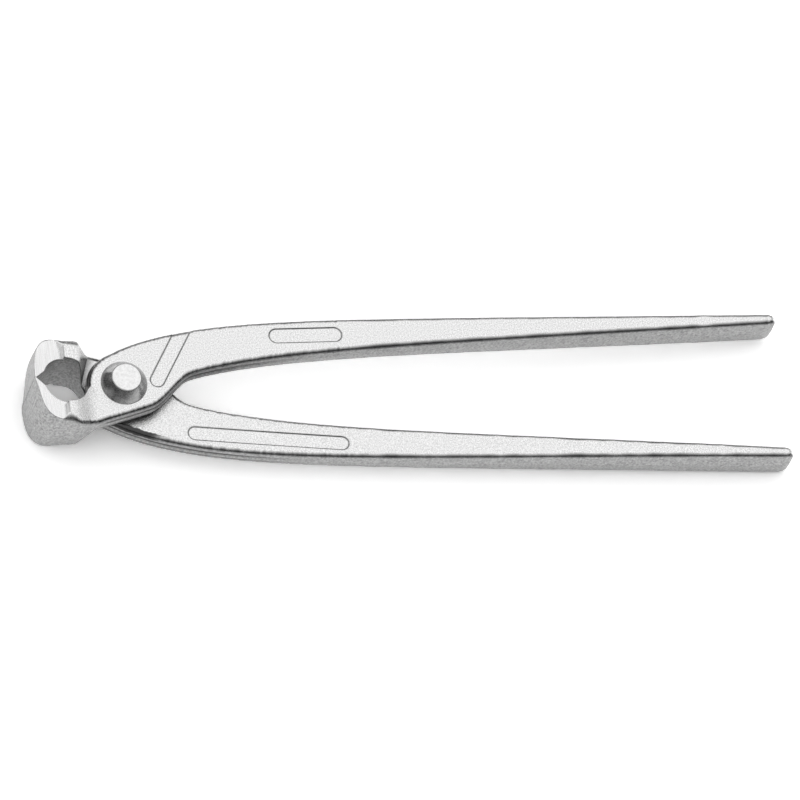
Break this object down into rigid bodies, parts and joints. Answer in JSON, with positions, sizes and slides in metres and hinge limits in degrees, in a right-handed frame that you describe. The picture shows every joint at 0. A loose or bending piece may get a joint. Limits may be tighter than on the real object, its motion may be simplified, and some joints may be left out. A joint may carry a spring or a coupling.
{
  "type": "end_cutting_nippers",
  "caption": "Long-handled concreters nippers, two forged steel levers crossed on a rivet, with hooked cutting jaws closed round a small eye",
  "frame": {"origin": "Middle of the rivet's rear flat, on the axis about which the levers turn", "axes": "+X runs along the closed tool from the jaws to the handle tips, +Z is the rivet axis out of the front lever, +Y lies across the handles towards the front lever's own handle"},
  "size_m": [0.22, 0.0462, 0.02],
  "materials": {
    "lever_steel": "Bright plated forging, finely blasted, with ground jaw sides",
    "rivet_steel": "Turned and plated rivet"
  },
  "bodies": {
    "rear_body": {"rear_lever": "lever_steel", "pivot_rivet": "rivet_steel"},
    "front_body": {"front_lever": "lever_steel"}
  },
  "joints": [
    {"name": "rivet_hinge", "type": "hinge", "parent": "rear_body", "child": "front_body", "pos_m": [0, 0, 0.01], "axis": [0, 0, 1], "range_deg": [0, 50]}
  ]
}
